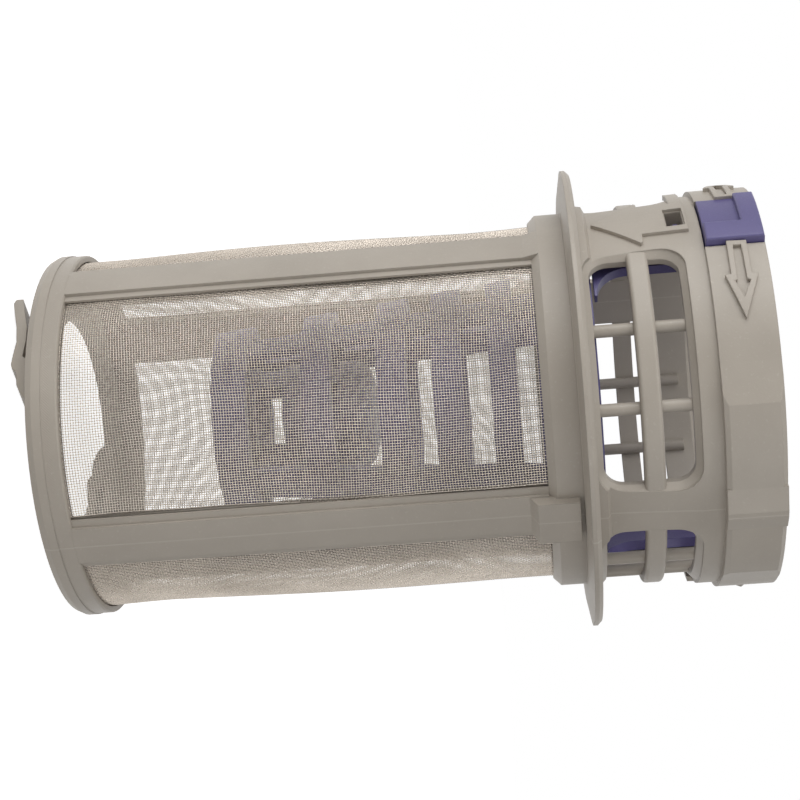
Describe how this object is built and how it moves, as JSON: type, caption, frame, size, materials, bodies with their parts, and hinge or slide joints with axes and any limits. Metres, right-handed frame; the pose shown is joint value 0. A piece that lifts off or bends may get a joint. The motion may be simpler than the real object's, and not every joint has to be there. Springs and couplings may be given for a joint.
{
  "type": "dishwasher filter",
  "caption": "Cylindrical dishwasher filter: a fine mesh sleeve in a moulded frame with flange and grip ring, holding a lift-out coarse basket with press tabs.",
  "frame": {"origin": "on the filter's axis, at the underside of the flange that rests on the sump", "axes": "+Z along the axis towards the grip ring (up in use), +X through the middle of one latch post, +Y through a parting line"},
  "size_m": [0.0998, 0.0998, 0.1584],
  "materials": {
    "grey_plastic": "satin",
    "steel_mesh": "woven",
    "purple_plastic": "satin"
  },
  "bodies": {
    "body": {"filter_body": "grey_plastic", "mesh_sleeve": "steel_mesh"},
    "basket": {"coarse_basket": "purple_plastic"},
    "arm_front": {"latch_arm_front": "purple_plastic"},
    "arm_back": {"latch_arm_back": "purple_plastic"}
  },
  "joints": [
    {"name": "basket_lift", "type": "slide", "parent": "body", "child": "basket", "axis": [0, 0, 1], "range_m": [0, 0.12]},
    {"name": "press_tab_front", "type": "hinge", "parent": "basket", "child": "arm_front", "pos_m": [0.03249, 0.00091, 0.00525], "axis": [0.0279, -0.9996, 0], "range_deg": [0, 6.5], "stiffness_Nm_per_rad": 0.5},
    {"name": "press_tab_back", "type": "hinge", "parent": "basket", "child": "arm_back", "pos_m": [-0.03249, -0.00091, 0.00525], "axis": [-0.0279, 0.9996, 0], "range_deg": [0, 6.5], "stiffness_Nm_per_rad": 0.5}
  ]
}
